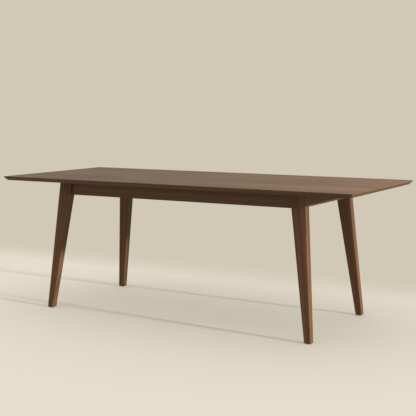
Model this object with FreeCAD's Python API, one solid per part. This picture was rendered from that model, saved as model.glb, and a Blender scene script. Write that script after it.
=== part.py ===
import FreeCAD, Part
import math
import os

# Dining table: a veneered top with an undercut edge, on an apron frame with splayed, tapered legs.
# Millimetres. The origin is on the floor under the middle of the top, +X runs along the table to the
# right, +Y to the rear and +Z up. One corner is modelled, the rear right one, and mirrored to the others.

# Overall
TABLE_LENGTH = 2100.0
TABLE_WIDTH = 900.0
TABLE_HEIGHT = 750.0

# Top: a core board between two veneers, with mitred solid lippings that carry the undercut edge
TOP_THICKNESS = 22.0
EDGE_FLAT = 6.0  # upright edge above the undercut
UNDERCUT_RUN = 16.0  # how far the undercut reaches in from the edge
TOP_EDGE_RADIUS = 1.0
VENEER_THICKNESS = 0.6
LIPPING_WIDTH = 40.0

# Legs: "width" is along the table, "depth" across it
LEG_TOP_WIDTH = 81.0
LEG_TOP_DEPTH = 46.0
LEG_FOOT_WIDTH = 35.0
LEG_FOOT_DEPTH = 36.0
LEG_END_OVERHANG = 296.0  # end of the top to the head of the leg
LEG_SIDE_OVERHANG = 140.0  # side of the top to the head of the leg
LEG_END_SPLAY = 64.0  # how much further out the foot stands than the head
LEG_SIDE_SPLAY = 56.0
LEG_EDGE_RADIUS = 2.5
LEG_FOOT_CHAMFER = 1.5

# Aprons: set on the middle planes of the legs
APRON_HEIGHT = 78.0
APRON_THICKNESS = 20.0
APRON_EDGE_RADIUS = 1.5

# Cross rails under the top, dowelled into the long aprons
RAIL_SPACING = 480.0
RAIL_HEIGHT = 45.0
RAIL_THICKNESS = 22.0
DOWEL_DIAMETER = 8.0
DOWEL_SPACING = 14.0
DOWEL_RISE = 10.0  # bottom of the rail to the lower dowel
DOWEL_IN_RAIL = 24.0
DOWEL_COVER = 8.0  # apron left beyond the end of a dowel
DOWEL_CHAMFER = 1.0

# Corner joints: a diagonal block between two aprons draws the leg in with two hanger bolts
BLOCK_THICKNESS = 30.0
BLOCK_RECESS = 18.0  # lower edge of the apron to the underside of the block
BLOCK_GAP = 1.5  # draw-up gap between the block and the leg
SEAT_DEPTH = 18.0  # flat cut off the inner corner of the leg, deepest at its head
SEAT_RUN_OUT = 8.0  # how far the flat runs on below the block
BOLT_DIAMETER = 8.0
BOLT_INSET = 13.0  # upper or lower face of the block to the nearer bolt
BOLT_COVER = 14.0  # leg left beyond the tip of a bolt
BOLT_PROJECTION = 4.0  # bolt end showing past the nut
BOLT_POINT = 4.0  # length of the point in the leg
BOLT_POINT_DIAMETER = 4.0
BOLT_END_CHAMFER = 1.0
BOLT_HOLE_PLAY = 0.5  # radial play of a bolt in its block
WASHER_DIAMETER = 18.0
WASHER_THICKNESS = 1.6
SPRING_WASHER_DIAMETER = 14.0
SPRING_WASHER_THICKNESS = 2.0
SPRING_WASHER_SLIT = 1.5
NUT_SIDES = 6
NUT_ACROSS_FLATS = 13.0
NUT_HEIGHT = 6.5
NUT_CHAMFER = 1.0

# Screws
SCREW_DIAMETER = 4.0
SCREW_HEAD_DIAMETER = 8.0
SCREW_HEAD_HEIGHT = 2.6
SCREW_HEAD_CHAMFER = 1.2
SCREW_TIP = 4.0  # length of the point
SCREW_HEAD_PLAY = 0.5  # radial play of a head in its counterbore
BLOCK_SCREW_SPACING = 22.0
BLOCK_SCREW_GRIP = 9.0  # block left under the head of a screw that enters an apron
APRON_SCREW_COVER = 5.0  # apron left beyond the tip of a screw
TOP_SCREW_GRIP = 18.0  # block or rail left under the head of a screw that enters the top
TOP_SCREW_COVER = 7.0  # top left above the tip of a screw
BLOCK_TOP_SCREW_OFFSET = 18.0  # from the bolts, along the block
RAIL_SCREW_INSET = 90.0  # end of a rail to its outer screws

# Steel clips that hold the top down, hooked into a groove in each apron
CLIP_WIDTH = 19.0
CLIP_THICKNESS = 1.5
CLIP_REACH = 26.0  # length under the top
CLIP_BEND_RADIUS = 0.8  # inside each bend
CLIP_BEND_PLAY = 0.2  # from the apron to the start of the lower bend
CLIP_SCREW_INSET = 9.0  # free end of the clip to its screw
GROOVE_DROP = 12.0  # underside of the top to the upper wall of the groove
GROOVE_DEPTH = 8.0
GROOVE_PLAY = 0.8  # groove height beyond the thickness of a clip
END_CLIP_INSET = 100.0  # a corner block to the clip beside it on an end apron

# Nylon glides, each nailed under a foot
GLIDE_DIAMETER = 26.0
GLIDE_HEIGHT = 3.0
GLIDE_CHAMFER = 0.8
NAIL_DIAMETER = 2.0
NAIL_HEAD_DIAMETER = 6.0
NAIL_HEAD_HEIGHT = 1.0
NAIL_HEAD_RECESS = 0.8  # floor to the head of the nail
NAIL_IN_LEG = 16.0
NAIL_TIP = 3.0

HOLE_PLAY = 0.1  # radial play of a dowel, screw, nail or bolt in its hole

# Heights
UNDERSIDE = TABLE_HEIGHT - TOP_THICKNESS
APRON_BOTTOM = UNDERSIDE - APRON_HEIGHT
BLOCK_BOTTOM = APRON_BOTTOM + BLOCK_RECESS
BLOCK_MIDDLE = (BLOCK_BOTTOM + UNDERSIDE) / 2
BOLT_SPACING = UNDERSIDE - BLOCK_BOTTOM - 2 * BOLT_INSET
SEAT_BOTTOM = BLOCK_BOTTOM - SEAT_RUN_OUT
RAIL_BOTTOM = UNDERSIDE - RAIL_HEIGHT
GROOVE_TOP = UNDERSIDE - GROOVE_DROP

SAME_PLACE = 1e-6  # points closer than this coincide
ORIGIN = FreeCAD.Vector(0, 0, 0)
X_AXIS = FreeCAD.Vector(1, 0, 0)
Y_AXIS = FreeCAD.Vector(0, 1, 0)
Z_AXIS = FreeCAD.Vector(0, 0, 1)
OUTWARD = FreeCAD.Vector(1, 1, 0).normalize()  # from the middle of the table into the rear right leg
ALONG_BLOCK = FreeCAD.Vector(1, -1, 0).normalize()
DIAGONAL = math.sqrt(2)
CORNERS = {
    "front_left": (-1, -1),
    "front_right": (1, -1),
    "rear_left": (-1, 1),
    "rear_right": (1, 1),
}


def box(x_span, y_span, z_span):
    """A block between two values on each axis."""
    spans = (x_span, y_span, z_span)
    size = [high - low for low, high in spans]
    return Part.makeBox(*size, FreeCAD.Vector(*[low for low, high in spans]))


def prism(points, along):
    """A polygon of 3-D points, extruded by a vector."""
    corners = [FreeCAD.Vector(*p) for p in points]
    return Part.Face(Part.makePolygon(corners + corners[:1])).extrude(along)


def plan_prism(points, z_span):
    """A polygon in plan, extruded between two heights."""
    low, high = z_span
    return prism([(x, y, low) for x, y in points], Z_AXIS * (high - low))


def rod(diameter, start, axis, length):
    """A round bar from a point along an axis."""
    return Part.makeCylinder(diameter / 2, length, start, axis)


def turned(profile, start, axis):
    """A turned piece: its half profile, as (radius, distance) points, stood on a point along an axis."""
    points = [FreeCAD.Vector(radius, 0, distance) for radius, distance in profile]
    outline = Part.Face(Part.makePolygon(points + points[:1]))
    piece = outline.revolve(ORIGIN, Z_AXIS, 360)
    return stood(piece, start, axis)


def stood(piece, start, axis):
    """A piece modelled on the origin along +Z, moved to stand on a point along an axis."""
    moved = piece.copy()
    moved.Placement = FreeCAD.Placement(start, FreeCAD.Rotation(Z_AXIS, axis))
    return moved


def at_corner(piece, side):
    """A rear right piece, mirrored to the corner with these signs of x and y."""
    for sign, normal in zip(side, (X_AXIS, Y_AXIS)):
        if sign < 0:
            piece = piece.mirror(ORIGIN, normal)
    return piece


def at_all_corners(pieces):
    return [at_corner(piece, side) for side in CORNERS.values() for piece in pieces]


def edges_on(shape, test):
    """The edges of a shape whose ends all pass a test."""
    return [e for e in shape.Edges if all(test(v.Point) for v in e.Vertexes)]


def level(height):
    """A test that a point lies at a height."""
    return lambda point: abs(point.z - height) < SAME_PLACE


# Leg planes, for the rear right leg


def between(head, foot, height):
    """A value that runs straight from the head of the leg to its foot, at a height."""
    share = (UNDERSIDE - height) / (UNDERSIDE - GLIDE_HEIGHT)
    return head + (foot - head) * share


def leg_span_x(height):
    """Inner and outer face of the leg along the table, at a height."""
    head = TABLE_LENGTH / 2 - LEG_END_OVERHANG
    foot = head + LEG_END_SPLAY
    return (
        between(head - LEG_TOP_WIDTH, foot - LEG_FOOT_WIDTH, height),
        between(head, foot, height),
    )


def leg_span_y(height):
    """Inner and outer face of the leg across the table, at a height."""
    head = TABLE_WIDTH / 2 - LEG_SIDE_OVERHANG
    foot = head + LEG_SIDE_SPLAY
    return (
        between(head - LEG_TOP_DEPTH, foot - LEG_FOOT_DEPTH, height),
        between(head, foot, height),
    )


APRON_MIDDLE = (UNDERSIDE + APRON_BOTTOM) / 2
END_APRON_X = sum(leg_span_x(APRON_MIDDLE)) / 2  # middle plane of the end apron
LONG_APRON_Y = sum(leg_span_y(APRON_MIDDLE)) / 2  # middle plane of the long apron
FRAME_X = END_APRON_X - APRON_THICKNESS / 2  # inner faces of the frame
FRAME_Y = LONG_APRON_Y - APRON_THICKNESS / 2


def corner_reach(x, y):
    """How far a point lies in from the inner corner of the apron frame, added over x and y."""
    return (FRAME_X - x) + (FRAME_Y - y)


SEAT_REACH = corner_reach(leg_span_x(UNDERSIDE)[0], leg_span_y(UNDERSIDE)[0]) - SEAT_DEPTH * DIAGONAL
BLOCK_NEAR = SEAT_REACH + BLOCK_GAP * DIAGONAL  # face of the block that looks at the leg
BLOCK_FAR = BLOCK_NEAR + BLOCK_THICKNESS * DIAGONAL  # face of the block that takes the nuts


# The top


def top_envelope():
    """The whole top: two extruded edge profiles meeting in mitred undercuts, with eased edges."""
    half_x, half_y = TABLE_LENGTH / 2, TABLE_WIDTH / 2
    lip = TABLE_HEIGHT - EDGE_FLAT

    def profile(half):
        return [
            (-half, TABLE_HEIGHT),
            (half, TABLE_HEIGHT),
            (half, lip),
            (half - UNDERCUT_RUN, UNDERSIDE),
            (UNDERCUT_RUN - half, UNDERSIDE),
            (-half, lip),
        ]

    across = prism([(-half_x, y, z) for y, z in profile(half_y)], X_AXIS * TABLE_LENGTH)
    along = prism([(x, -half_y, z) for x, z in profile(half_x)], Y_AXIS * TABLE_WIDTH)
    slab = across.common(along)
    return slab.makeFillet(TOP_EDGE_RADIUS, slab.Edges)


def top_slice(z_span):
    """The part of the top between two heights."""
    slab = box(
        (-TABLE_LENGTH / 2, TABLE_LENGTH / 2),
        (-TABLE_WIDTH / 2, TABLE_WIDTH / 2),
        z_span,
    )
    return top_envelope().common(slab)


CORE_SPAN = (UNDERSIDE + VENEER_THICKNESS, TABLE_HEIGHT - VENEER_THICKNESS)
CORE_X = TABLE_LENGTH / 2 - LIPPING_WIDTH
CORE_Y = TABLE_WIDTH / 2 - LIPPING_WIDTH


def top_veneer():
    return top_slice((CORE_SPAN[1], TABLE_HEIGHT))


def backing_veneer():
    return drilled(top_slice((UNDERSIDE, CORE_SPAN[0])), top_pilot_holes())


def top_core():
    board = box((-CORE_X, CORE_X), (-CORE_Y, CORE_Y), CORE_SPAN)
    return drilled(board, top_pilot_holes())


def edge_lippings():
    """Four solid lippings, mitred where they meet."""
    half_x, half_y = TABLE_LENGTH / 2, TABLE_WIDTH / 2
    outer = [(-half_x, -half_y), (half_x, -half_y), (half_x, half_y), (-half_x, half_y)]
    inner = [(-CORE_X, -CORE_Y), (CORE_X, -CORE_Y), (CORE_X, CORE_Y), (-CORE_X, CORE_Y)]
    ring = top_slice(CORE_SPAN)
    made = {}
    for side, name in enumerate(("front", "right", "rear", "left")):
        follows = (side + 1) % len(outer)
        piece = [outer[side], outer[follows], inner[follows], inner[side]]
        made[f"edge_lipping_{name}"] = ring.common(plan_prism(piece, CORE_SPAN))
    return made


def drilled(piece, holes):
    return piece.cut(Part.makeCompound(holes))


# The legs and their glides


def leg():
    """A tapered leg with eased edges, a bolt seat at the inner corner of its head and its holes."""

    def ring(height):
        (x0, x1), (y0, y1) = leg_span_x(height), leg_span_y(height)
        points = [(x0, y0), (x1, y0), (x1, y1), (x0, y1), (x0, y0)]
        return Part.makePolygon([FreeCAD.Vector(x, y, height) for x, y in points])

    blank = Part.makeLoft([ring(GLIDE_HEIGHT), ring(UNDERSIDE)], True, True)
    long_edges = [e for e in blank.Edges if e.BoundBox.ZLength > LEG_EDGE_RADIUS]
    eased = blank.makeFillet(LEG_EDGE_RADIUS, long_edges)
    eased = eased.makeChamfer(LEG_FOOT_CHAMFER, edges_on(eased, level(GLIDE_HEIGHT)))
    holes = [rod_in_hole(BOLT_DIAMETER, *bolt) for bolt in bolt_lines_in_leg()]
    holes.append(nail_hole())
    return drilled(eased.cut(bolt_seat()), holes)


def bolt_seat():
    """The wedge cut off the inner corner of the leg's head, as an upright diagonal prism."""
    far = LEG_TOP_WIDTH + LEG_TOP_DEPTH
    first = (FRAME_X - SEAT_REACH - far, FRAME_Y + far)
    last = (FRAME_X + far, FRAME_Y - SEAT_REACH - far)
    points = [first, last, (last[0] - far, last[1] - far), (first[0] - far, first[1] - far)]
    return plan_prism(points, (SEAT_BOTTOM, TABLE_HEIGHT))


def foot_centre():
    return FreeCAD.Vector(
        sum(leg_span_x(GLIDE_HEIGHT)) / 2, sum(leg_span_y(GLIDE_HEIGHT)) / 2, 0
    )


def foot_glide():
    """A nylon disc with a dished seat for the head of its nail."""
    radius = GLIDE_DIAMETER / 2
    disc = turned(
        [
            (0, 0),
            (radius - GLIDE_CHAMFER, 0),
            (radius, GLIDE_CHAMFER),
            (radius, GLIDE_HEIGHT),
            (0, GLIDE_HEIGHT),
        ],
        foot_centre(),
        Z_AXIS,
    )
    head_room = rod(
        NAIL_HEAD_DIAMETER + 2 * HOLE_PLAY,
        foot_centre(),
        Z_AXIS,
        NAIL_HEAD_RECESS + NAIL_HEAD_HEIGHT,
    )
    return drilled(disc, [head_room, nail_hole()])


def nail_hole():
    return rod_in_hole(NAIL_DIAMETER, foot_centre(), Z_AXIS, GLIDE_HEIGHT + NAIL_IN_LEG)


def glide_nail():
    head_top = NAIL_HEAD_RECESS + NAIL_HEAD_HEIGHT
    tip = GLIDE_HEIGHT + NAIL_IN_LEG
    return turned(
        [
            (0, NAIL_HEAD_RECESS),
            (NAIL_HEAD_DIAMETER / 2, NAIL_HEAD_RECESS),
            (NAIL_HEAD_DIAMETER / 2, head_top),
            (NAIL_DIAMETER / 2, head_top),
            (NAIL_DIAMETER / 2, tip - NAIL_TIP),
            (0, tip),
        ],
        foot_centre(),
        Z_AXIS,
    )


def rod_in_hole(diameter, start, axis, length):
    """The hole for a bar: as long as the bar and a little wider."""
    return rod(diameter + 2 * HOLE_PLAY, start, axis, length)


# The apron frame


def apron_board(half_length, middle):
    """A board along X, at a middle plane in y, with eased lower edges and the clip groove inside."""
    y0, y1 = middle - APRON_THICKNESS / 2, middle + APRON_THICKNESS / 2
    board = box((-half_length, half_length), (y0, y1), (APRON_BOTTOM, UNDERSIDE))
    lower = [e for e in edges_on(board, level(APRON_BOTTOM)) if e.BoundBox.XLength > APRON_THICKNESS]
    board = board.makeFillet(APRON_EDGE_RADIUS, lower)
    groove = box(
        (-half_length, half_length),
        (y0, y0 + GROOVE_DEPTH),
        (GROOVE_TOP - CLIP_THICKNESS - GROOVE_PLAY, GROOVE_TOP),
    )
    return board.cut(groove)


def fitted_between_legs(board, inner_face, middle):
    """A board along X, cut at both ends to the slope of the legs' inner faces."""
    low, high = inner_face(APRON_BOTTOM), inner_face(UNDERSIDE)
    points = [
        (-low, middle - APRON_THICKNESS, APRON_BOTTOM),
        (low, middle - APRON_THICKNESS, APRON_BOTTOM),
        (high, middle - APRON_THICKNESS, UNDERSIDE),
        (-high, middle - APRON_THICKNESS, UNDERSIDE),
    ]
    return board.common(prism(points, Y_AXIS * (2 * APRON_THICKNESS)))


def rear_apron():
    board = apron_board(leg_span_x(APRON_BOTTOM)[0], LONG_APRON_Y)
    board = fitted_between_legs(board, lambda z: leg_span_x(z)[0], LONG_APRON_Y)
    rear_dowels = [line for line in dowel_lines() if line[0].y > 0]
    holes = [rod_in_hole(DOWEL_DIAMETER, *line) for line in rear_dowels]
    screws = [
        rod_in_hole(SCREW_DIAMETER, start, axis, length)
        for start, axis, length in block_screw_lines()
        if axis == Y_AXIS
    ]
    screws += [screw.mirror(ORIGIN, X_AXIS) for screw in screws]
    return drilled(board, holes + screws)


def right_apron():
    """The end apron: modelled along X like the long one, then turned a quarter to face the end."""
    board = apron_board(leg_span_y(APRON_BOTTOM)[0], END_APRON_X)
    board = fitted_between_legs(board, lambda z: leg_span_y(z)[0], END_APRON_X)
    board.rotate(ORIGIN, Z_AXIS, -90)
    screws = [
        rod_in_hole(SCREW_DIAMETER, start, axis, length)
        for start, axis, length in block_screw_lines()
        if axis == X_AXIS
    ]
    screws += [screw.mirror(ORIGIN, Y_AXIS) for screw in screws]
    return drilled(board, screws)


# Cross rails


def rail_positions():
    return {"left": -RAIL_SPACING / 2, "right": RAIL_SPACING / 2}


def dowel_lines():
    """Start, axis and length of each dowel, from inside a rail into a long apron."""
    length = DOWEL_IN_RAIL + APRON_THICKNESS - DOWEL_COVER
    lines = []
    for x in rail_positions().values():
        for side in (-1, 1):
            for rise in (DOWEL_RISE, DOWEL_RISE + DOWEL_SPACING):
                start = FreeCAD.Vector(x, side * (FRAME_Y - DOWEL_IN_RAIL), RAIL_BOTTOM + rise)
                lines.append((start, Y_AXIS * side, length))
    return lines


def cross_rail(x):
    rail = box(
        (x - RAIL_THICKNESS / 2, x + RAIL_THICKNESS / 2),
        (-FRAME_Y, FRAME_Y),
        (RAIL_BOTTOM, UNDERSIDE),
    )
    lower = [e for e in edges_on(rail, level(RAIL_BOTTOM)) if e.BoundBox.YLength > RAIL_THICKNESS]
    rail = rail.makeFillet(APRON_EDGE_RADIUS, lower)
    holes = [rod_in_hole(DOWEL_DIAMETER, *line) for line in dowel_lines()]
    for point in rail_screw_points(x):
        holes += top_screw_holes(point, RAIL_BOTTOM)
    return drilled(rail, holes)


def dowel(start, axis, length):
    radius = DOWEL_DIAMETER / 2
    return turned(
        [
            (0, 0),
            (radius - DOWEL_CHAMFER, 0),
            (radius, DOWEL_CHAMFER),
            (radius, length - DOWEL_CHAMFER),
            (radius - DOWEL_CHAMFER, length),
            (0, length),
        ],
        start,
        axis,
    )


# Corner blocks and hanger bolts


def corner_block():
    """A diagonal block that bears on both aprons, with its bolt holes and counterbored screw holes."""
    points = [
        (FRAME_X - BLOCK_NEAR, FRAME_Y),
        (FRAME_X, FRAME_Y - BLOCK_NEAR),
        (FRAME_X, FRAME_Y - BLOCK_FAR),
        (FRAME_X - BLOCK_FAR, FRAME_Y),
    ]
    block = plan_prism(points, (BLOCK_BOTTOM, UNDERSIDE))
    holes = []
    for seat in bolt_seat_points():
        play = BOLT_DIAMETER + 2 * BOLT_HOLE_PLAY
        holes.append(rod(play, seat, -OUTWARD, BLOCK_GAP + 2 * BLOCK_THICKNESS))
    for start, axis, length in block_screw_lines():
        holes.append(rod_in_hole(SCREW_DIAMETER, start, axis, length))
        counterbore = SCREW_HEAD_DIAMETER + 2 * SCREW_HEAD_PLAY
        holes.append(rod(counterbore, start, -axis, BLOCK_FAR))
    holes += top_screw_holes(block_top_screw_point(), BLOCK_BOTTOM)
    return drilled(block, holes)


def bolt_seat_points():
    """Where the two bolt axes cross the flat on the leg: the middle of the flat at block height."""
    inner_x, inner_y = leg_span_x(BLOCK_MIDDLE)[0], leg_span_y(BLOCK_MIDDLE)[0]
    across = FRAME_X + FRAME_Y - SEAT_REACH  # x plus y, all over the flat
    x = (inner_x + across - inner_y) / 2
    return [
        FreeCAD.Vector(x, across - x, BLOCK_MIDDLE + side * BOLT_SPACING / 2) for side in (-1, 1)
    ]


def bolt_lines_in_leg():
    """Start, axis and length of each bolt's bite into the leg, from the flat."""
    lines = []
    for seat in bolt_seat_points():
        to_side = (leg_span_y(seat.z)[1] - seat.y) * DIAGONAL
        to_end = (leg_span_x(seat.z)[1] - seat.x) * DIAGONAL
        lines.append((seat, OUTWARD, min(to_side, to_end) - BOLT_COVER))
    return lines


def stacked(seat, below):
    """A point on a bolt's axis at the nut side of the block, past a stack of washers."""
    return seat - OUTWARD * (BLOCK_GAP + BLOCK_THICKNESS + below)


def hanger_bolts():
    """Each bolt runs from its tip in the leg to a chamfered end past the nut."""
    radius = BOLT_DIAMETER / 2
    stack = WASHER_THICKNESS + SPRING_WASHER_THICKNESS + NUT_HEIGHT + BOLT_PROJECTION
    made = []
    for seat, axis, bite in bolt_lines_in_leg():
        length = bite + BLOCK_GAP + BLOCK_THICKNESS + stack
        profile = [
            (0, 0),
            (BOLT_POINT_DIAMETER / 2, 0),
            (radius, BOLT_POINT),
            (radius, length - BOLT_END_CHAMFER),
            (radius - BOLT_END_CHAMFER, length),
            (0, length),
        ]
        made.append(turned(profile, seat + axis * bite, -axis))
    return made


def flat_washers():
    bore = BOLT_DIAMETER / 2 + HOLE_PLAY
    rim = WASHER_DIAMETER / 2
    profile = [(bore, 0), (rim, 0), (rim, WASHER_THICKNESS), (bore, WASHER_THICKNESS)]
    return [turned(profile, stacked(seat, 0), -OUTWARD) for seat in bolt_seat_points()]


def spring_washers():
    """Split rings under the nuts."""
    bore = BOLT_DIAMETER / 2 + HOLE_PLAY
    rim = SPRING_WASHER_DIAMETER / 2
    height = SPRING_WASHER_THICKNESS
    ring = turned([(bore, 0), (rim, 0), (rim, height), (bore, height)], ORIGIN, Z_AXIS)
    slit = box((0, rim), (-SPRING_WASHER_SLIT / 2, SPRING_WASHER_SLIT / 2), (0, height))
    ring = ring.cut(slit)
    return [stood(ring, stacked(seat, WASHER_THICKNESS), -OUTWARD) for seat in bolt_seat_points()]


def hex_nuts():
    """Hexagon nuts with turned-off corners."""
    corner = NUT_ACROSS_FLATS / 2 / math.cos(math.pi / NUT_SIDES)
    angles = [2 * math.pi * side / NUT_SIDES for side in range(NUT_SIDES)]
    hexagon = plan_prism(
        [(corner * math.cos(a), corner * math.sin(a)) for a in angles], (0, NUT_HEIGHT)
    )
    turned_off = turned(
        [
            (0, 0),
            (corner - NUT_CHAMFER, 0),
            (corner, NUT_CHAMFER / 2),
            (corner, NUT_HEIGHT - NUT_CHAMFER / 2),
            (corner - NUT_CHAMFER, NUT_HEIGHT),
            (0, NUT_HEIGHT),
        ],
        ORIGIN,
        Z_AXIS,
    )
    nut = hexagon.common(turned_off).cut(rod_in_hole(BOLT_DIAMETER, ORIGIN, Z_AXIS, NUT_HEIGHT))
    below = WASHER_THICKNESS + SPRING_WASHER_THICKNESS
    return [stood(nut, stacked(seat, below), -OUTWARD) for seat in bolt_seat_points()]


# Screws


def pan_screw(seat, axis, length):
    """A pan-head wood screw: its head bears on the seat and its shank runs along the axis."""
    head, shank = SCREW_HEAD_DIAMETER / 2, SCREW_DIAMETER / 2
    return turned(
        [
            (0, -SCREW_HEAD_HEIGHT),
            (head - SCREW_HEAD_CHAMFER, -SCREW_HEAD_HEIGHT),
            (head, SCREW_HEAD_CHAMFER - SCREW_HEAD_HEIGHT),
            (head, 0),
            (shank, 0),
            (shank, length - SCREW_TIP),
            (0, length),
        ],
        seat,
        axis,
    )


def block_screw_lines():
    """Start, axis and length of the screws from a block into its two aprons."""
    toe = BLOCK_FAR - BLOCK_SCREW_GRIP - SCREW_HEAD_DIAMETER / 2 - SCREW_HEAD_PLAY
    length = BLOCK_SCREW_GRIP + APRON_THICKNESS - APRON_SCREW_COVER
    lines = []
    for side in (-1, 1):
        z = BLOCK_MIDDLE + side * BLOCK_SCREW_SPACING / 2
        lines.append((FreeCAD.Vector(FRAME_X - toe, FRAME_Y - BLOCK_SCREW_GRIP, z), Y_AXIS, length))
        lines.append((FreeCAD.Vector(FRAME_X - BLOCK_SCREW_GRIP, FRAME_Y - toe, z), X_AXIS, length))
    return lines


def block_top_screw_point():
    """Plan position of the screw from a block up into the top, beside the bolts."""
    middle = stacked(bolt_seat_points()[0], -BLOCK_THICKNESS / 2)
    return middle + ALONG_BLOCK * BLOCK_TOP_SCREW_OFFSET


def rail_screw_points(x):
    return [FreeCAD.Vector(x, side * (FRAME_Y - RAIL_SCREW_INSET), 0) for side in (-1, 0, 1)]


def top_screw_length():
    return TOP_SCREW_GRIP + TOP_THICKNESS - TOP_SCREW_COVER


def top_screw_seat(point):
    return FreeCAD.Vector(point.x, point.y, UNDERSIDE - TOP_SCREW_GRIP)


def top_screw_holes(point, mouth):
    """A counterbored hole up through a block or rail, from the height of its mouth."""
    seat = top_screw_seat(point)
    return [
        rod_in_hole(SCREW_DIAMETER, seat, Z_AXIS, top_screw_length()),
        rod(SCREW_HEAD_DIAMETER + 2 * SCREW_HEAD_PLAY, seat, -Z_AXIS, seat.z - mouth),
    ]


def top_screws():
    made = at_all_corners(
        [pan_screw(top_screw_seat(block_top_screw_point()), Z_AXIS, top_screw_length())]
    )
    for x in rail_positions().values():
        for point in rail_screw_points(x):
            made.append(pan_screw(top_screw_seat(point), Z_AXIS, top_screw_length()))
    return made


def top_pilot_holes():
    """Every screw hole in the underside of the top."""
    block_seat = top_screw_seat(block_top_screw_point())
    holes = at_all_corners([rod_in_hole(SCREW_DIAMETER, block_seat, Z_AXIS, top_screw_length())])
    for x in rail_positions().values():
        for point in rail_screw_points(x):
            seat = top_screw_seat(point)
            holes.append(rod_in_hole(SCREW_DIAMETER, seat, Z_AXIS, top_screw_length()))
    for place in clip_places():
        holes.append(place(rod_in_hole(SCREW_DIAMETER, clip_screw_seat(), Z_AXIS, clip_screw_length())))
    return holes


# Clips


def clip_upright():
    """The face of a clip's upright that looks at the rear apron."""
    return FRAME_Y - CLIP_BEND_RADIUS - CLIP_BEND_PLAY


def clip():
    """A cranked steel clip in the rear apron's groove, at x = 0, with rounded bends."""
    face, back = clip_upright(), clip_upright() - CLIP_THICKNESS
    hook_end, free_end = FRAME_Y + GROOVE_DEPTH - GROOVE_PLAY, clip_upright() - CLIP_REACH
    hook_low, tab_low = GROOVE_TOP - CLIP_THICKNESS, UNDERSIDE - CLIP_THICKNESS
    outline = [
        (back, hook_low),
        (hook_end, hook_low),
        (hook_end, GROOVE_TOP),
        (face, GROOVE_TOP),
        (face, UNDERSIDE),
        (free_end, UNDERSIDE),
        (free_end, tab_low),
        (back, tab_low),
    ]
    strip = prism([(-CLIP_WIDTH / 2, y, z) for y, z in outline], X_AXIS * CLIP_WIDTH)
    inside = [(face, GROOVE_TOP), (back, tab_low)]
    outside = [(back, hook_low), (face, UNDERSIDE)]
    for radius, bends in ((CLIP_BEND_RADIUS, inside), (CLIP_BEND_RADIUS + CLIP_THICKNESS, outside)):
        strip = strip.makeFillet(radius, edges_on(strip, over_any(bends)))
    hole = rod_in_hole(SCREW_DIAMETER, clip_screw_seat(), Z_AXIS, CLIP_THICKNESS)
    return strip.cut(hole)


def over_any(places):
    """A test that a point lies over one of some (y, z) places."""
    return lambda p: any(math.hypot(p.y - y, p.z - z) < SAME_PLACE for y, z in places)


def clip_screw_seat():
    y = clip_upright() - CLIP_REACH + CLIP_SCREW_INSET
    return FreeCAD.Vector(0, y, UNDERSIDE - CLIP_THICKNESS)


def clip_screw_length():
    return CLIP_THICKNESS + TOP_THICKNESS - TOP_SCREW_COVER


def clip_places():
    """How each clip is moved from the middle of the rear apron: one to a bay, and two to an end."""

    def on_long_apron(x, rear):
        def place(piece):
            moved = piece.copy()
            if not rear:
                moved = moved.mirror(ORIGIN, Y_AXIS)
            moved.translate(X_AXIS * x)
            return moved

        return place

    def on_end_apron(y, turn):
        def place(piece):
            moved = piece.copy()
            moved.translate(Y_AXIS * (FRAME_X - FRAME_Y))
            moved.rotate(ORIGIN, Z_AXIS, turn)
            moved.translate(Y_AXIS * y)
            return moved

        return place

    outer_bay = (RAIL_SPACING / 2 + FRAME_X) / 2
    beside_block = FRAME_Y - BLOCK_FAR - END_CLIP_INSET
    places = [
        on_long_apron(step * outer_bay, rear) for rear in (True, False) for step in (-1, 0, 1)
    ]
    places += [
        on_end_apron(side * beside_block, turn) for turn in (-90, 90) for side in (-1, 1)
    ]
    return places


def top_clips():
    return [place(clip()) for place in clip_places()]


def clip_screws():
    screw = pan_screw(clip_screw_seat(), Z_AXIS, clip_screw_length())
    return [place(screw) for place in clip_places()]


def build():
    """Every node of the table, by name, as a list of its solids."""
    nodes = {
        "top_core": [top_core()],
        "top_veneer": [top_veneer()],
        "backing_veneer": [backing_veneer()],
        "apron_rear": [rear_apron()],
        "apron_front": [rear_apron().mirror(ORIGIN, Y_AXIS)],
        "apron_right": [right_apron()],
        "apron_left": [right_apron().mirror(ORIGIN, X_AXIS)],
        "rail_dowels": [dowel(*line) for line in dowel_lines()],
        "hanger_bolts": at_all_corners(hanger_bolts()),
        "flat_washers": at_all_corners(flat_washers()),
        "spring_washers": at_all_corners(spring_washers()),
        "hex_nuts": at_all_corners(hex_nuts()),
        "block_screws": at_all_corners([pan_screw(*line) for line in block_screw_lines()]),
        "top_screws": top_screws(),
        "top_clips": top_clips(),
        "clip_screws": clip_screws(),
        "glide_nails": at_all_corners([glide_nail()]),
    }
    for name, piece in edge_lippings().items():
        nodes[name] = [piece]
    for name, x in rail_positions().items():
        nodes[f"cross_rail_{name}"] = [cross_rail(x)]
    for name, side in CORNERS.items():
        nodes[f"leg_{name}"] = [at_corner(leg(), side)]
        nodes[f"corner_block_{name}"] = [at_corner(corner_block(), side)]
        nodes[f"foot_glide_{name}"] = [at_corner(foot_glide(), side)]
    return nodes


def main():
    os.makedirs("parts", exist_ok=True)
    for name, pieces in build().items():
        solids = [solid for piece in pieces for solid in piece.Solids]
        Part.makeCompound(solids).exportStep(f"parts/{name}.step")


main()
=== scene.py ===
import math
from collections import namedtuple
import bmesh
import bpy
import numpy as np
from mathutils import Color, Matrix, Vector

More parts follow.
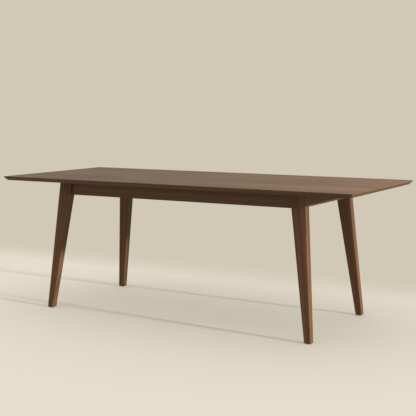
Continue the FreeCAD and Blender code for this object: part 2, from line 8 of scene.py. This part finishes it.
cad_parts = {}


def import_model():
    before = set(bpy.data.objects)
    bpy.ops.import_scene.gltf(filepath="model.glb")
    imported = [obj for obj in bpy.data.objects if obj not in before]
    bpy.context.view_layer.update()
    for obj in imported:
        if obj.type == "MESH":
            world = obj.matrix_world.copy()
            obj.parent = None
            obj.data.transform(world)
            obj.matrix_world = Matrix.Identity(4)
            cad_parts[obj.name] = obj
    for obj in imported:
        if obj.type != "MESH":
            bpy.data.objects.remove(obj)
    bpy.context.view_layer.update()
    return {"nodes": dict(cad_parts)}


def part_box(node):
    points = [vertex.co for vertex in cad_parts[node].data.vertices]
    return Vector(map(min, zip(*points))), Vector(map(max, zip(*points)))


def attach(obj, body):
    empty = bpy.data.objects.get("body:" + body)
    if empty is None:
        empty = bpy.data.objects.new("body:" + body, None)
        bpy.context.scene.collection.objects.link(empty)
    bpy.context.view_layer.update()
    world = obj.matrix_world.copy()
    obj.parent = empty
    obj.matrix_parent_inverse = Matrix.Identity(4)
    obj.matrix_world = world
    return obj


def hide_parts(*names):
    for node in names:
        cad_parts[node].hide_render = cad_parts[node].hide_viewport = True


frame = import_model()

# Camera, in metres and degrees
CAMERA_PLACE = (2.5036, -4.2614, 1.1438)
CAMERA_DOWN = 6.47
CAMERA_TURN = 30.10
CAMERA_FOCAL_PX = 893.54
IMAGE_WIDTH_PX = 416
SENSOR_WIDTH = 36.0  # mm
RIGHT_ANGLE = 90.0

# Light, in metres and degrees: a low key from beyond the right end, a warm accent beside it, a softbox
# over that end, and a dome that is brighter overhead; the accent and the softbox reach the table alone
KEY_STRENGTH = 2.3
KEY_COLOUR = (1.0, 0.97, 0.93)
KEY_ELEVATION = 13.1
KEY_TURN = -2.0  # from a little in front of the right end
KEY_SOFTNESS = 2.6  # across the lamp
ACCENT_STRENGTH = 2.75
ACCENT_COLOUR = (1.0, 0.74, 0.52)
SOFTBOX_POWER = 26.0
SOFTBOX_SIZE = 1.0
SOFTBOX_PLACE = (1.7, 0.1, 1.75)
SOFTBOX_AIM = (0.6, 0.0, 0.75)
SOFTBOX_COLOUR = (1.0, 0.84, 0.64)
FILL_LOW = 0.50
FILL_HIGH = 0.86
FILL_COLOUR = (1.0, 0.97, 0.92)
BACKDROP_COLOUR = (209, 201, 182)

# Floor: a pale disc that takes the colour of the backdrop far off and behind the table
FLOOR_RADIUS = 40.0
FLOOR_CORNERS = 96
FLOOR_FADE = (1.7, 4.2)  # from the middle of the table
FLOOR_BACK = (0.45, 1.4)  # behind its middle
FLOOR_GLOW = 0.3  # least share of the backdrop's colour
FLOOR_COLOUR = (252, 247, 236)
FLOOR_ROUGHNESS = 0.9

# Grain of a log, in metres: a scale says how often a pattern repeats along, across and out from the heart
SWAY_SCALE = (1.1, 7.0, 7.0)
SWAY_REACH = (0.0, 0.030, 0.030)
RIPPLE_SCALE = (6.0, 55.0, 55.0)
RIPPLE_REACH = (0.0, 0.0025, 0.0025)
STREAK_DETAIL = 3.0
STREAK_SHARE = 0.55
RING_WIDTH = 0.0032
RING_DETAIL = 1.0
RING_SHARE = 0.25
FIBRE_SCALE = (16.0, 900.0, 900.0)
FIBRE_DETAIL = 3.0
FIBRE_ROUGHNESS = 0.6
FIBRE_SHARE = 0.20
PORE_SCALE = (75.0, 1900.0, 1900.0)
PORE_DETAIL = 1.0
PORE_LIMITS = (0.58, 0.70)
PORE_RING = (0.35, 0.65)  # tones of a ring between which the pores thin out
PORE_LEAST = 0.35  # share of the pores that is left
GRAIN_DEPTH = 0.0001

# Walnut: colours as 8-bit sRGB, wear, and satin lacquer
WALNUT_STOPS = ((0.33, (51, 36, 26)), (0.50, (86, 62, 45)), (0.67, (115, 86, 63)))
WALNUT_MIDDLE = WALNUT_STOPS[1][0]
WALNUT_PORE = (44, 30, 22)
WALNUT_PORE_SHARE = 0.5
WALNUT_WORN = (138, 104, 76)
WALNUT_EDGE = 0.002  # how far wear reaches from an edge
WALNUT_FIBRE_RISE = 0.3
WALNUT_PORE_RISE = -1.0
RUB_SCALE = (12.0, 60.0, 60.0)
RUB_DETAIL = 3.0
RUB_LIMITS = (0.40, 0.70)
RUB_MOST = 0.45
WIPE_SCALE = (3.0, 3.0, 3.0)
WIPE_DETAIL = 3.0
LACQUER_ROUGHNESS = 0.31
LACQUER_FIBRE = 0.14  # roughness that the fibres add
LACQUER_WIPE = 0.12  # and the marks of wiping
TOP_GLOSS = 0.24
BACK_GLOSS = 0.03
FRAME_GLOSS = 0.07
APRON_GLOSS = {"long": 0.15, "end": 0.03}
LEAF_STREAK = 0.026  # width of the dark and pale streaks in a leaf
FRAME_STREAK = 0.012  # and in a narrow member
LEAF_FIGURE = 1.0  # strength of the streaks in a leaf
FRAME_FIGURE = 0.45  # and in the plainer wood of the frame
LEAF_WIDTH = 0.18  # veneer leaves, crown cut and laid side by side
LEAF_TILT = 0.014  # slope of the log's axis against the leaf
LEAF_SPREAD = (3.0, 0.06, 0.06)  # how far apart in the log the leaves are cut

# Beech of the blocks, rails and dowels
BEECH_STOPS = ((0.30, (168, 132, 98)), (0.50, (192, 158, 122)), (0.70, (208, 178, 144)))
BEECH_WORN = (214, 188, 156)
BEECH_EDGE = 0.0015
BEECH_WEAR = 0.35
BEECH_FIBRE_RISE = 1.0
BEECH_PORE_RISE = -0.5
BEECH_ROUGHNESS = 0.50
BEECH_FIBRE = 0.20  # roughness that the fibres add
FLECK_COLOUR = (142, 104, 74)
FLECK_SCALE = (420.0, 3200.0, 1100.0)
FLECK_DETAIL = 1.0
FLECK_LIMITS = (0.62, 0.70)
FLECK_MOST = 0.42

# Core board, steel and nylon: colours, size and depth of the specks in metres, and finish
Speckle = namedtuple("Speckle", "stops size depth roughness metallic")
BOARD = Speckle(
    stops=((0.30, (140, 110, 80)), (0.50, (172, 142, 106)), (0.70, (198, 170, 134))),
    size=0.0015, depth=0.0002, roughness=0.8, metallic=0.0,
)
STEEL = Speckle(
    stops=((0.30, (150, 150, 146)), (0.50, (176, 176, 171)), (0.70, (194, 192, 184))),
    size=0.0008, depth=0.00002, roughness=0.38, metallic=1.0,
)
NYLON = Speckle(
    stops=((0.30, (30, 27, 25)), (0.50, (38, 34, 31)), (0.70, (47, 42, 38))),
    size=0.0006, depth=0.00005, roughness=0.55, metallic=0.0,
)
SPECK_DETAIL = 3.0
SPECK_ROUGHNESS = 0.6
SPECK_SHARE = 0.6
SPECK_ROUGHENS = 0.10
CLOUD_SPECKS = 12  # size of a cloud of specks against one speck
CLOUD_DETAIL = 2.0
CLOUD_SHARE = 0.4
CLOUD_ROUGHENS = 0.20

# Worn edges: how finely the turn of the surface is read, and its cosine where wear starts and is full
EDGE_SAMPLES = 4
EDGE_TURN = (0.995, 0.90)

# Cross recess and dome of the screw heads, and thread and blunt tip of the bolts
RECESS_WINGS = 4
WING_TURN = math.tau / RECESS_WINGS
RECESS_REACH = 0.0023
RECESS_HALF_WIDTH = 0.0005
RECESS_DEPTH = 0.0017
RECESS_TAPER = 0.55
RECESS_STEPS = 4  # from one wing to the next
DOME_DROP = 0.0015
DOME_STEPS = 4
THREAD_PITCH = 0.00125
THREAD_DEPTH = 0.0007
THREAD_LENGTH = 0.0080
THREAD_CHAMFER = 0.0010
THREAD_STEPS = 6
THREAD_CORNERS = 24
BOLT_TIP = 0.5  # share of the radius
DRIVEN_TURN = 2.4  # radians from one fastener to the next
TOLERANCE = 1e-5
SMOOTH_ANGLE = math.radians(35)

# Where members are sawn from a log, in metres: step along it from one to the next, and place by its heart
CUTS = {
    "top": (0.3, 0.0, -0.70),
    "backing": (5.3, 0.0, -0.66),
    "lipping": (1.7, 1.1, -0.6),
    "apron": (2.3, 0.5, -0.56),
    "leg": (1.3, 0.5, 0.9),
    "rail": (1.9, 0.2, -0.6),
    "block": (0.7, 0.3, -0.5),
    "dowels": (0.0, 0.1, -0.5),
}

# How much paler or darker a member is painted than the middle walnut: partly the wood's own variation,
# partly painted light and shade for how much light that member gets
LIPPING_TONE_AND_SHADE = {"long": -0.045, "end": 0.03}
APRON_TONE_AND_SHADE = {"long": 0.015, "end": 0.055}
LEG_TONE_AND_SHADE = {"front_left": 0.045, "front_right": 0.05, "rear_left": 0.035, "rear_right": 0.045}

# Names of the members, and directions along and across the grain of those that run round the table
LONG_SIDES = ("front", "rear")
ENDS = ("left", "right")
CORNERS = [f"{side}_{end}" for side in LONG_SIDES for end in ENDS]
SCREWS = ("block_screws", "top_screws", "clip_screws")
HARDWARE = ("flat_washers", "spring_washers", "hex_nuts", "top_clips", "glide_nails")
X_AXIS = Vector((1.0, 0.0, 0.0))
Y_AXIS = Vector((0.0, 1.0, 0.0))
Z_AXIS = Vector((0.0, 0.0, 1.0))
RUNS = {"long": (X_AXIS, Y_AXIS), "end": (Y_AXIS, -X_AXIS)}
LEG_END_SLICE = 0.001  # of a leg's foot and head, to find its axis
WHITE_LEVEL = 255  # of 8-bit colours


def linear(colour):
    """An 8-bit sRGB colour as linear RGBA."""
    shares = Color([level / WHITE_LEVEL for level in colour])
    return (*shares.from_srgb_to_scene_linear(), 1.0)


class Graph:
    """Adds nodes to a tree. A socket takes a number, a tuple or another node's output."""

    def __init__(self, tree):
        self.tree = tree

    def add(self, kind, values, **settings):
        node = self.tree.nodes.new("ShaderNode" + kind)
        for key, value in settings.items():
            setattr(node, key, value)
        for key, value in values.items():
            if isinstance(value, bpy.types.NodeSocket):
                self.tree.links.new(value, node.inputs[key])
            else:
                node.inputs[key].default_value = value
        return node

    def math(self, operation, first, second=0.0):
        return self.add("Math", {0: first, 1: second}, operation=operation).outputs[0]

    def blend(self, parts):
        """The sum of several values, each with its own share."""
        total = 0.0
        for value, share in parts:
            total = self.add("Math", {0: value, 1: share, 2: total}, operation="MULTIPLY_ADD").outputs[0]
        return total

    def vector(self, operation, first, second=(0.0, 0.0, 0.0)):
        return self.add("VectorMath", {0: first, 1: second}, operation=operation)

    def shifted(self, vector, offset, amount):
        """A vector moved by an offset, each axis by its own amount."""
        values = {0: offset, 1: amount, 2: vector}
        return self.add("VectorMath", values, operation="MULTIPLY_ADD").outputs[0]

    def noise(self, vector, scale, detail=2.0, roughness=0.5):
        place = self.vector("MULTIPLY", vector, scale).outputs[0]
        values = {"Vector": place, "Scale": 1.0, "Detail": detail, "Roughness": roughness}
        return self.add("TexNoise", values)

    def bands(self, place, width, detail):
        """Noise along one line, in bands of about a width."""
        values = {"W": self.math("DIVIDE", place, width), "Scale": 1.0, "Detail": detail}
        return self.add("TexNoise", values, noise_dimensions="1D").outputs[0]

    def remap(self, value, low, high, to_low=0.0, to_high=1.0):
        """A value eased from one range to another."""
        values = {0: value, 1: low, 2: high, 3: to_low, 4: to_high}
        return self.add("MapRange", values, interpolation_type="SMOOTHSTEP").outputs[0]

    def mix(self, share, first, second):
        return self.add("Mix", {0: share, 6: first, 7: second}, data_type="RGBA").outputs[2]

    def ramp(self, value, stops):
        """A colour out of three stops, each a place and a colour."""
        node = self.add("ValToRGB", {"Fac": value})
        elements = node.color_ramp.elements
        elements.new(stops[1][0])
        for element, (place, colour) in zip(elements, stops):
            element.position = place
            element.color = linear(colour)
        return node.outputs[0]

    def bump(self, height, depth):
        return self.add("Bump", {"Height": height, "Distance": depth, "Strength": 1.0}).outputs[0]

    def object_place(self):
        return self.add("TexCoord", {}).outputs["Object"]

    def edge(self, radius):
        """1 on an edge, 0 on a flat."""
        rounded = self.add("Bevel", {"Radius": radius}, samples=EDGE_SAMPLES).outputs[0]
        flat = self.add("NewGeometry", {}).outputs["Normal"]
        return self.remap(self.vector("DOT_PRODUCT", rounded, flat).outputs["Value"], *EDGE_TURN)

    def surface(self, values):
        shader = self.add("BsdfPrincipled", values)
        self.add("OutputMaterial", {"Surface": shader.outputs[0]})


def new_material(name):
    material = bpy.data.materials.new(name)
    material.use_nodes = True
    material.node_tree.nodes.clear()
    return material, Graph(material.node_tree)


def timber_grain():
    """Straight-grained timber, in metres: X along the grain, growth rings round the line Y = Z = 0."""
    tree = bpy.data.node_groups.new("timber_grain", "ShaderNodeTree")
    tree.interface.new_socket("Place", in_out="INPUT", socket_type="NodeSocketVector")
    tree.interface.new_socket("Streak", in_out="INPUT", socket_type="NodeSocketFloat")
    for name in ("Tone", "Pore", "Fibre"):
        tree.interface.new_socket(name, in_out="OUTPUT", socket_type="NodeSocketFloat")
    graph = Graph(tree)
    place, streak_width = list(tree.nodes.new("NodeGroupInput").outputs)[:2]
    sway = graph.noise(place, SWAY_SCALE).outputs["Color"]
    ripple = graph.noise(place, RIPPLE_SCALE).outputs["Color"]
    log = graph.shifted(place, sway, SWAY_REACH)
    log = graph.shifted(log, ripple, RIPPLE_REACH)
    spoke = graph.vector("MULTIPLY", log, Y_AXIS + Z_AXIS).outputs[0]
    radius = graph.vector("LENGTH", spoke).outputs["Value"]
    streak = graph.bands(radius, streak_width, STREAK_DETAIL)
    ring = graph.bands(radius, RING_WIDTH, RING_DETAIL)
    fibre = graph.noise(place, FIBRE_SCALE, FIBRE_DETAIL, FIBRE_ROUGHNESS).outputs[0]
    dash = graph.remap(graph.noise(place, PORE_SCALE, PORE_DETAIL).outputs[0], *PORE_LIMITS)
    pore = graph.math("MULTIPLY", dash, graph.remap(ring, *PORE_RING, 1.0, PORE_LEAST))
    tone = graph.blend(((streak, STREAK_SHARE), (ring, RING_SHARE), (fibre, FIBRE_SHARE)))
    ends = tree.nodes.new("NodeGroupOutput")
    for name, socket in {"Tone": tone, "Pore": pore, "Fibre": fibre}.items():
        tree.links.new(socket, ends.inputs[name])
    return tree


GRAIN = timber_grain()
TABLE = bpy.data.collections.new("table")  # what the accent and the softbox light


def sawn(kind, count=1):
    """Where in its log a member was sawn."""
    step, across, out = CUTS[kind]
    return (step * count, across, out)


def log_place(graph, along, across, cut):
    """Places in the log: the piece turned so that X runs along its grain, then moved to its cut."""
    along = along.normalized()
    depth = along.cross(across).normalized()
    turn = Matrix((along, depth.cross(along), depth)).to_euler()
    values = {"Vector": graph.object_place(), "Location": cut, "Rotation": turn}
    return graph.add("Mapping", values).outputs[0]


def leafed(graph, place):
    """The same places with each veneer leaf cut off the crown of another part of the log."""
    across = graph.add("SeparateXYZ", {0: place}).outputs["Y"]
    leaf = graph.math("ROUND", graph.math("DIVIDE", across, LEAF_WIDTH))
    draw = graph.add("TexWhiteNoise", {"W": leaf}, noise_dimensions="1D").outputs["Color"]
    start = graph.add("CombineXYZ", {"Y": leaf}).outputs[0]
    crown = graph.shifted(place, start, -LEAF_WIDTH * Y_AXIS)
    return graph.shifted(crown, draw, LEAF_SPREAD)


def walnut(name, along, across, cut, gloss, tone_and_shade=0.0, veneer=False):
    """Walnut under satin lacquer: rings, fibres, open pores, pale worn edges, and a member's tone shift,
    which is partly its own wood and partly painted light and shade.
    """
    material, graph = new_material(name)
    place = log_place(graph, along, across, cut)
    if veneer:
        place = leafed(graph, place)
    streak = LEAF_STREAK if veneer else FRAME_STREAK
    figure = LEAF_FIGURE if veneer else FRAME_FIGURE
    grain = graph.add("Group", {"Place": place, "Streak": streak}, node_tree=GRAIN)
    tone, pore, fibre = grain.outputs
    # painted light and shade: the member's tone shift, partly the wood's own variation, partly standing
    # in for the light that member gets
    tone = graph.blend(((tone, figure), (1.0, WALNUT_MIDDLE * (1 - figure) + tone_and_shade)))
    wood = graph.ramp(tone, WALNUT_STOPS)
    wood = graph.mix(graph.math("MULTIPLY", pore, WALNUT_PORE_SHARE), wood, linear(WALNUT_PORE))
    rub = graph.remap(graph.noise(place, RUB_SCALE, RUB_DETAIL).outputs[0], *RUB_LIMITS, 0.0, RUB_MOST)
    worn = graph.math("MULTIPLY", graph.edge(WALNUT_EDGE), rub)
    colour = graph.mix(worn, wood, linear(WALNUT_WORN))
    wiped = graph.noise(graph.object_place(), WIPE_SCALE, WIPE_DETAIL).outputs[0]
    roughness = graph.blend(((fibre, LACQUER_FIBRE), (wiped, LACQUER_WIPE), (1.0, LACQUER_ROUGHNESS)))
    height = graph.blend(((fibre, WALNUT_FIBRE_RISE), (pore, WALNUT_PORE_RISE)))
    graph.surface({
        "Base Color": colour, "Roughness": roughness, "Normal": graph.bump(height, GRAIN_DEPTH),
        "Specular IOR Level": gloss,
    })
    return material


def beech(name, along, across, cut):
    """Planed beech, unfinished: faint rings and short brown flecks."""
    material, graph = new_material(name)
    place = log_place(graph, along, across, cut)
    grain = graph.add("Group", {"Place": place, "Streak": FRAME_STREAK}, node_tree=GRAIN)
    tone, pore, fibre = grain.outputs
    wood = graph.ramp(tone, BEECH_STOPS)
    speck = graph.noise(place, FLECK_SCALE, FLECK_DETAIL).outputs[0]
    wood = graph.mix(graph.remap(speck, *FLECK_LIMITS, 0.0, FLECK_MOST), wood, linear(FLECK_COLOUR))
    worn = graph.math("MULTIPLY", graph.edge(BEECH_EDGE), BEECH_WEAR)
    colour = graph.mix(worn, wood, linear(BEECH_WORN))
    roughness = graph.blend(((fibre, BEECH_FIBRE), (1.0, BEECH_ROUGHNESS)))
    height = graph.blend(((fibre, BEECH_FIBRE_RISE), (pore, BEECH_PORE_RISE)))
    graph.surface({
        "Base Color": colour, "Roughness": roughness, "Normal": graph.bump(height, GRAIN_DEPTH),
    })
    return material


def speckled(name, kind):
    """A surface of small specks: pressed board, zinc plate or moulded nylon."""
    material, graph = new_material(name)
    place = graph.object_place()
    fine = 1 / kind.size
    broad = fine / CLOUD_SPECKS
    speck = graph.noise(place, (fine, fine, fine), SPECK_DETAIL, SPECK_ROUGHNESS).outputs[0]
    cloud = graph.noise(place, (broad, broad, broad), CLOUD_DETAIL).outputs[0]
    colour = graph.ramp(graph.blend(((speck, SPECK_SHARE), (cloud, CLOUD_SHARE))), kind.stops)
    even = kind.roughness - (SPECK_ROUGHENS + CLOUD_ROUGHENS) / 2
    roughness = graph.blend(((cloud, CLOUD_ROUGHENS), (speck, SPECK_ROUGHENS), (1.0, even)))
    graph.surface({
        "Base Color": colour, "Roughness": roughness, "Normal": graph.bump(speck, kind.depth),
        "Metallic": kind.metallic,
    })
    return material


def dress(node, material):
    """Gives a CAD node its material and the table's own lamps."""
    piece = frame["nodes"][node]
    piece.data.materials.clear()
    piece.data.materials.append(material)
    TABLE.objects.link(piece)


def dress_top():
    along = X_AXIS + LEAF_TILT * Z_AXIS
    face = walnut("top_veneer", along, Y_AXIS, sawn("top"), TOP_GLOSS, veneer=True)
    back = walnut("backing_veneer", along, Y_AXIS, sawn("backing"), BACK_GLOSS, veneer=True)
    dress("top_veneer", face)
    dress("backing_veneer", back)
    dress("top_core", speckled("core_board", BOARD))


def dress_sides():
    """Lippings and aprons, with the grain along each side."""
    for count, side in enumerate(LONG_SIDES + ENDS):
        run = "long" if side in LONG_SIDES else "end"
        cut = sawn("lipping", count)
        lipping = walnut(f"lipping_{side}", *RUNS[run], cut, FRAME_GLOSS, LIPPING_TONE_AND_SHADE[run])
        dress(f"edge_lipping_{side}", lipping)
        cut = sawn("apron", count)
        apron = walnut(f"apron_{side}", *RUNS[run], cut, APRON_GLOSS[run], APRON_TONE_AND_SHADE[run])
        dress(f"apron_{side}", apron)


def dress_rails():
    for count, side in enumerate(ENDS):
        dress(f"cross_rail_{side}", beech(f"rail_{side}", Y_AXIS, X_AXIS, sawn("rail", count)))
    dress("rail_dowels", beech("dowels", X_AXIS, Y_AXIS, sawn("dowels")))


def leg_axis(node):
    """Direction of a leg, from the middle of its foot to the middle of its head."""
    points = np.array([vertex.co for vertex in frame["nodes"][node].data.vertices])
    middles = []
    for height in (corner[2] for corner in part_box(node)):
        end = points[abs(points[:, 2] - height) < LEG_END_SLICE]
        middles.append((end.min(axis=0) + end.max(axis=0)) / 2)
    foot, head = middles
    return Vector(head - foot)


def block_slant(corner):
    """Direction of a corner block, across the corner that it braces."""
    low, high = (Vector(point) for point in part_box(f"corner_block_{corner}"))
    middle = (low + high) / 2
    return Vector((math.copysign(1, middle.x), -math.copysign(1, middle.y), 0.0))


def dress_corners():
    for count, corner in enumerate(CORNERS):
        name = f"leg_{corner}"
        leg = walnut(name, leg_axis(name), Y_AXIS, sawn("leg", count), FRAME_GLOSS, LEG_TONE_AND_SHADE[corner])
        dress(name, leg)
        block = beech(f"block_{corner}", block_slant(corner), X_AXIS, sawn("block", count))
        dress(f"corner_block_{corner}", block)


def add_to_scene(item):
    bpy.context.scene.collection.objects.link(item)
    return item


class Turned:
    """One turned solid of a CAD node: the place of its wider end, and its sizes."""

    def __init__(self, points):
        middle = points.mean(axis=0)
        spread = points - middle
        axis = np.linalg.svd(spread, full_matrices=False)[2][0]
        height = spread @ axis
        self.radii = np.linalg.norm(spread - np.outer(height, axis), axis=1)
        at_top = self.radii[height > height.max() - TOLERANCE].max()
        at_bottom = self.radii[height < height.min() + TOLERANCE].max()
        if at_top < at_bottom:
            axis = -axis
            height = -height
        self.depths = height.max() - height
        self.length = float(self.depths.max())
        self.radius = float(self.radii.max())
        turn = Vector(axis).to_track_quat("Z", "Y").to_matrix().to_4x4()
        self.place = Matrix.Translation(Vector(middle + axis * height.max())) @ turn

    def head_height(self):
        return float(self.depths[self.radii > self.radius - TOLERANCE].max())

    def shank_radius(self):
        return float(self.radii[self.depths > self.head_height() + TOLERANCE].max())


def turned_solids(node):
    """The solids of a node of turned pieces, in the order of their first points."""
    shape = bmesh.new()
    shape.from_mesh(frame["nodes"][node].data)
    bmesh.ops.remove_doubles(shape, verts=shape.verts, dist=TOLERANCE)
    seen = set()
    solids = []
    for start in shape.verts:
        if start in seen:
            continue
        island = [start]
        seen.add(start)
        for point in island:
            near = [edge.other_vert(point) for edge in point.link_edges]
            fresh = [other for other in near if other not in seen]
            island.extend(dict.fromkeys(fresh))
            seen.update(fresh)
        solids.append(Turned(np.array([point.co for point in island])))
    shape.free()
    return solids


def lathe(shape, place, top, rings, tip, angles):
    """Adds a closed skin through rings of (radius at an angle, height), from a top point to a tip."""
    rows = []
    for radius_at, height in rings:
        spokes = [Vector((math.cos(a), math.sin(a), 0.0)) * radius_at(a) for a in angles]
        rows.append([shape.verts.new(place @ (spoke + height * Z_AXIS)) for spoke in spokes])
    first = shape.verts.new(place @ (top * Z_AXIS))
    last = shape.verts.new(place @ (tip * Z_AXIS))
    for k in range(len(angles)):
        n = (k + 1) % len(angles)
        shape.faces.new((first, rows[0][k], rows[0][n]))
        shape.faces.new((last, rows[-1][n], rows[-1][k]))
        for upper, lower in zip(rows, rows[1:]):
            shape.faces.new((upper[k], lower[k], lower[n], upper[n]))


def recess_reach(angle):
    """Distance from the middle of a cross recess to its wall."""
    swing = abs((angle + WING_TURN / 2) % WING_TURN - WING_TURN / 2)
    if math.tan(swing) * RECESS_REACH <= RECESS_HALF_WIDTH:
        return RECESS_REACH / math.cos(swing)
    return RECESS_HALF_WIDTH / math.sin(swing)


def cross_screw(shape, solid, turn):
    """A pan-head screw with a cross recess, in the place of a CAD screw."""
    def dome(radius):
        return -DOME_DROP * (1 - math.sqrt(max(0.0, 1 - (radius / solid.radius) ** 2)))

    def even(radius):
        return lambda angle: radius

    wing = math.atan(RECESS_HALF_WIDTH / RECESS_REACH)
    steps = [-wing, 0.0, wing]
    steps += [WING_TURN * step / RECESS_STEPS for step in range(1, RECESS_STEPS)]
    angles = [count * WING_TURN + step for count in range(RECESS_WINGS) for step in steps]
    widest = recess_reach(wing)
    rings = [
        (lambda angle: RECESS_TAPER * recess_reach(angle), -RECESS_DEPTH),
        (recess_reach, dome(widest)),
    ]
    for step in range(1, DOME_STEPS + 1):
        radius = widest + (solid.radius - widest) * math.sin(math.pi / 2 * step / DOME_STEPS)
        rings.append((even(radius), dome(radius)))
    seat = solid.head_height()
    shank = even(solid.shank_radius())
    tip_start = solid.length - 2 * solid.shank_radius()
    rings += [(even(solid.radius), -seat), (shank, -seat), (shank, -tip_start)]
    lathe(shape, solid.place @ Matrix.Rotation(turn, 4, "Z"), -RECESS_DEPTH, rings, -solid.length, angles)


def threaded_bolt(shape, solid, turn):
    """A hanger bolt with a machine thread at its nut end, in the place of a CAD bolt."""
    angles = [math.tau * corner / THREAD_CORNERS for corner in range(THREAD_CORNERS)]

    def ridged(depth):
        crest = solid.radius - max(0.0, THREAD_CHAMFER - depth)

        def radius(angle):
            share = (depth / THREAD_PITCH + angle / math.tau) % 1
            return min(crest, solid.radius - THREAD_DEPTH * abs(2 * share - 1))
        return radius

    step = THREAD_PITCH / THREAD_STEPS
    rings = [(ridged(count * step), -count * step) for count in range(int(THREAD_LENGTH / step))]
    point = solid.length - solid.radius
    rings += [(lambda angle: solid.radius, -depth) for depth in (THREAD_LENGTH, point)]
    rings.append((lambda angle: solid.radius * BOLT_TIP, -solid.length))
    lathe(shape, solid.place @ Matrix.Rotation(turn, 4, "Z"), 0.0, rings, -solid.length, angles)


def fasteners(node, maker, material):
    """One piece that stands for a node of screws or bolts, each turned as it was driven home."""
    shape = bmesh.new()
    for count, solid in enumerate(turned_solids(node)):
        maker(shape, solid, count * DRIVEN_TURN)
    mesh = bpy.data.meshes.new(f"{node}_made")
    shape.to_mesh(mesh)
    shape.free()
    mesh.polygons.foreach_set("use_smooth", [True] * len(mesh.polygons))
    mesh.set_sharp_from_angle(angle=SMOOTH_ANGLE)
    mesh.materials.append(material)
    piece = add_to_scene(bpy.data.objects.new(f"{node}_made", mesh))
    TABLE.objects.link(piece)
    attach(piece, "root")
    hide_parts(node)


def dress_hardware():
    steel = speckled("zinc_steel", STEEL)
    nylon = speckled("nylon", NYLON)
    for node in HARDWARE:
        dress(node, steel)
    for node in SCREWS:
        fasteners(node, cross_screw, steel)
    fasteners("hanger_bolts", threaded_bolt, steel)
    for corner in CORNERS:
        dress(f"foot_glide_{corner}", nylon)


def floor():
    """A pale disc that fades into the backdrop."""
    mesh = bpy.data.meshes.new("floor")
    turns = [math.tau * corner / FLOOR_CORNERS for corner in range(FLOOR_CORNERS)]
    rim = [(FLOOR_RADIUS * math.cos(turn), FLOOR_RADIUS * math.sin(turn), 0.0) for turn in turns]
    mesh.from_pydata(rim, [], [range(len(rim))])
    material, graph = new_material("floor")
    place = graph.object_place()
    around = graph.remap(graph.vector("LENGTH", place).outputs["Value"], *FLOOR_FADE, FLOOR_GLOW)
    behind = graph.remap(graph.add("SeparateXYZ", {0: place}).outputs["Y"], *FLOOR_BACK)
    near = graph.add("BsdfPrincipled", {"Base Color": linear(FLOOR_COLOUR), "Roughness": FLOOR_ROUGHNESS})
    far = graph.add("Emission", {"Color": linear(BACKDROP_COLOUR)})
    share = graph.math("MAXIMUM", around, behind)
    both = graph.add("MixShader", {0: share, 1: near.outputs[0], 2: far.outputs[0]})
    graph.add("OutputMaterial", {"Surface": both.outputs[0]})
    mesh.materials.append(material)
    add_to_scene(bpy.data.objects.new("floor", mesh))


def sunlamp(name, strength, colour):
    """A far lamp in the direction of the key."""
    sun = bpy.data.lights.new(name, "SUN")
    sun.energy = strength
    sun.color = colour
    sun.angle = math.radians(KEY_SOFTNESS)
    lamp = add_to_scene(bpy.data.objects.new(name, sun))
    lamp.rotation_euler = (0.0, math.radians(RIGHT_ANGLE - KEY_ELEVATION), math.radians(KEY_TURN))
    return lamp


def lamps():
    sunlamp("key", KEY_STRENGTH, KEY_COLOUR)
    accent = sunlamp("accent", ACCENT_STRENGTH, ACCENT_COLOUR)
    area = bpy.data.lights.new("softbox", "AREA")
    area.energy = SOFTBOX_POWER
    area.color = SOFTBOX_COLOUR
    area.size = SOFTBOX_SIZE
    softbox = add_to_scene(bpy.data.objects.new("softbox", area))
    softbox.location = SOFTBOX_PLACE
    aim = Vector(SOFTBOX_AIM) - softbox.location
    softbox.rotation_euler = aim.to_track_quat("-Z", "Y").to_euler()
    softbox.visible_camera = False
    softbox.visible_glossy = False
    for lamp in (accent, softbox):
        lamp.light_linking.receiver_collection = TABLE


def world():
    """Fills from a dome, and shows the backdrop's colour to the camera and in reflections."""
    studio = bpy.data.worlds.new("studio")
    studio.use_nodes = True
    studio.node_tree.nodes.clear()
    graph = Graph(studio.node_tree)
    ray = graph.add("LightPath", {}).outputs
    seen = graph.math("MAXIMUM", ray["Is Camera Ray"], ray["Is Glossy Ray"])
    seen = graph.math("MAXIMUM", seen, ray["Is Transmission Ray"])
    up = graph.add("SeparateXYZ", {0: graph.add("TexCoord", {}).outputs["Generated"]}).outputs["Z"]
    strength = graph.add("MapRange", {0: up, 3: FILL_LOW, 4: FILL_HIGH}).outputs[0]
    fill = graph.add("Background", {"Color": (*FILL_COLOUR, 1.0), "Strength": strength})
    backdrop = graph.add("Background", {"Color": linear(BACKDROP_COLOUR), "Strength": 1.0})
    both = graph.add("MixShader", {0: seen, 1: fill.outputs[0], 2: backdrop.outputs[0]})
    graph.add("OutputWorld", {"Surface": both.outputs[0]})
    bpy.context.scene.world = studio


def camera():
    lens = bpy.data.cameras.new("camera")
    lens.sensor_width = SENSOR_WIDTH
    lens.lens = CAMERA_FOCAL_PX * SENSOR_WIDTH / IMAGE_WIDTH_PX
    eye = add_to_scene(bpy.data.objects.new("camera", lens))
    eye.location = CAMERA_PLACE
    eye.rotation_euler = (math.radians(RIGHT_ANGLE - CAMERA_DOWN), 0.0, math.radians(CAMERA_TURN))
    bpy.context.scene.camera = eye


dress_top()
dress_sides()
dress_rails()
dress_corners()
dress_hardware()
floor()
lamps()
world()
camera()
bpy.context.scene.view_settings.view_transform = "Standard"
